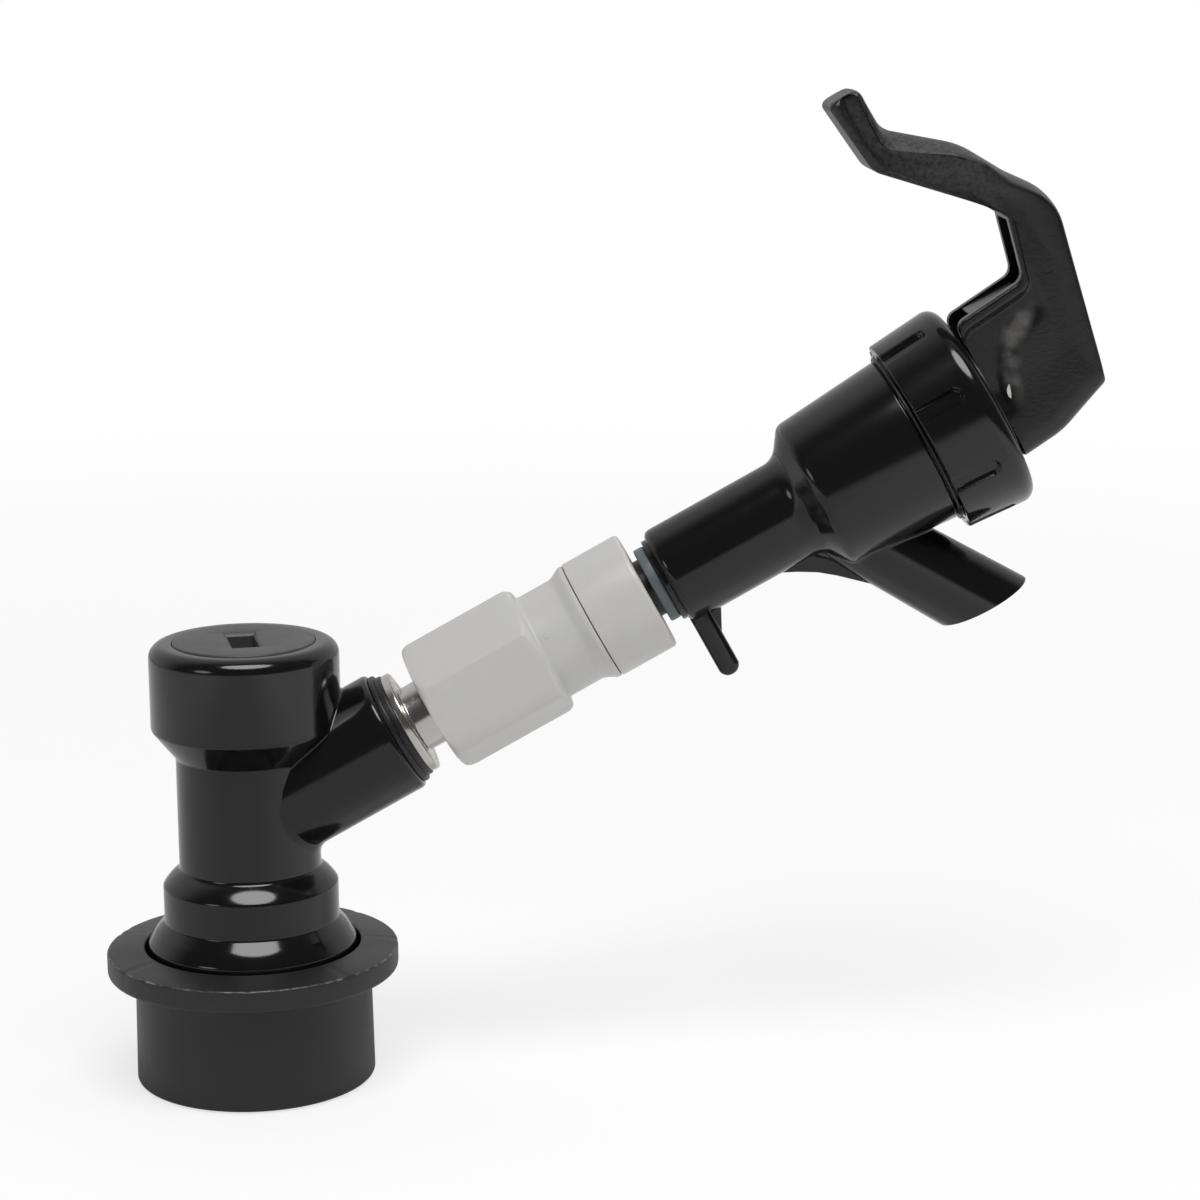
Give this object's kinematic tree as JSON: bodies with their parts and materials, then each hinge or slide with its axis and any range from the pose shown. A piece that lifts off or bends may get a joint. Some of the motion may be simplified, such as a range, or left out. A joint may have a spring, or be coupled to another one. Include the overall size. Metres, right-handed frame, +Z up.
{
  "type": "picnic beer tap",
  "caption": "Thumb-lever beer tap with a spout, joined through a hexagon push-in fitting to a ball-lock keg disconnect with a lift collar.",
  "frame": {"origin": "centre of the mouth of the keg post bore, level with the collar's lower face", "axes": "+Z up the keg post, +X towards the tap along the outlet arm seen from above, +Y level, away from the side that the picture shows"},
  "size_m": [0.144, 0.0416, 0.1398],
  "materials": {
    "gloss_black": "polished moulded black",
    "lever_black": "satin black with a fine grain",
    "satin_black": "satin black, rubbed pale on edges",
    "collet_black": "satin black",
    "fitting_grey": "satin light warm grey",
    "blue_grey": "satin blue-grey",
    "stainless": "turned stainless steel",
    "spring_steel": "drawn wire",
    "black_rubber": "moulded rubber",
    "white_plastic": "natural acetal"
  },
  "bodies": {
    "disconnect": {"disconnect_body": "gloss_black", "top_plug": "satin_black", "plug_seal_ring": "black_rubber", "poppet_spring": "spring_steel", "post_seal": "black_rubber", "collar_spring": "spring_steel", "collar_retaining_ring": "stainless", "outlet_sealing_ring": "collet_black", "outlet_insert": "stainless", "flare_washer": "white_plastic", "fitting_body": "fitting_grey", "tube_seal_inner": "black_rubber", "seal_spacer": "white_plastic", "tube_seal_outer": "black_rubber", "fitting_cap": "fitting_grey", "grip_ring": "stainless"},
    "collar": {"release_collar": "satin_black"},
    "ball_1": {"lock_ball_1": "stainless"},
    "ball_2": {"lock_ball_2": "stainless"},
    "ball_3": {"lock_ball_3": "stainless"},
    "poppet": {"poppet_pin": "stainless", "poppet_seal": "black_rubber"},
    "collet": {"collet": "collet_black", "collet_ring": "blue_grey"},
    "tap": {"inlet_stem": "white_plastic", "tap_body": "gloss_black", "diaphragm": "black_rubber", "valve_spring": "spring_steel", "clamp_ring": "collet_black", "bonnet": "gloss_black", "thrust_washer": "collet_black"},
    "valve": {"valve_stem": "white_plastic", "seat_seal": "black_rubber", "spring_seat_washer": "stainless", "lever_pin": "stainless"},
    "lever": {"lever": "lever_black"}
  },
  "joints": [
    {"name": "collar_lift", "type": "slide", "parent": "disconnect", "child": "collar", "axis": [0, 0, 1], "range_m": [0, 0.0045], "stiffness_N_per_m": 500, "springref_m": -0.002, "deforming": ["collar_spring"]},
    {"name": "poppet_lift", "type": "slide", "parent": "disconnect", "child": "poppet", "axis": [0, 0, 1], "range_m": [0, 0.0025], "stiffness_N_per_m": 500, "springref_m": -0.002, "deforming": ["poppet_spring"]},
    {"name": "ball_1_release", "type": "slide", "parent": "disconnect", "child": "ball_1", "axis": [-1, 0, 0], "range_m": [0, 0.0013]},
    {"name": "ball_2_release", "type": "slide", "parent": "disconnect", "child": "ball_2", "axis": [0.5, -0.866, 0], "range_m": [0, 0.0013]},
    {"name": "ball_3_release", "type": "slide", "parent": "disconnect", "child": "ball_3", "axis": [0.5, 0.866, 0], "range_m": [0, 0.0013]},
    {"name": "collet_press", "type": "slide", "parent": "disconnect", "child": "collet", "axis": [-0.8788, 0, -0.4772], "range_m": [0, 0.0008]},
    {"name": "tap_swivel", "type": "hinge", "parent": "disconnect", "child": "tap", "pos_m": [0.06679, 0, 0.07516], "axis": [0.8788, 0, 0.4772], "continuous": true},
    {"name": "stem_lift", "type": "slide", "parent": "tap", "child": "valve", "axis": [0.8788, 0, 0.4772], "range_m": [0, 0.0033], "stiffness_N_per_m": 100, "springref_m": -0.002, "deforming": ["valve_spring", "diaphragm"]},
    {"name": "lever_tilt", "type": "hinge", "parent": "valve", "child": "lever", "pos_m": [0.10915, 0, 0.09816], "axis": [0, -1, 0], "range_deg": [0, 18.1]}
  ],
  "couplings": [
    {"joint": "ball_1_release", "follows": "collar_lift", "ratio": 0.28889},
    {"joint": "ball_2_release", "follows": "collar_lift", "ratio": 0.28889},
    {"joint": "ball_3_release", "follows": "collar_lift", "ratio": 0.28889},
    {"joint": "lever_tilt", "follows": "stem_lift", "rad_per_m": 95.2}
  ]
}
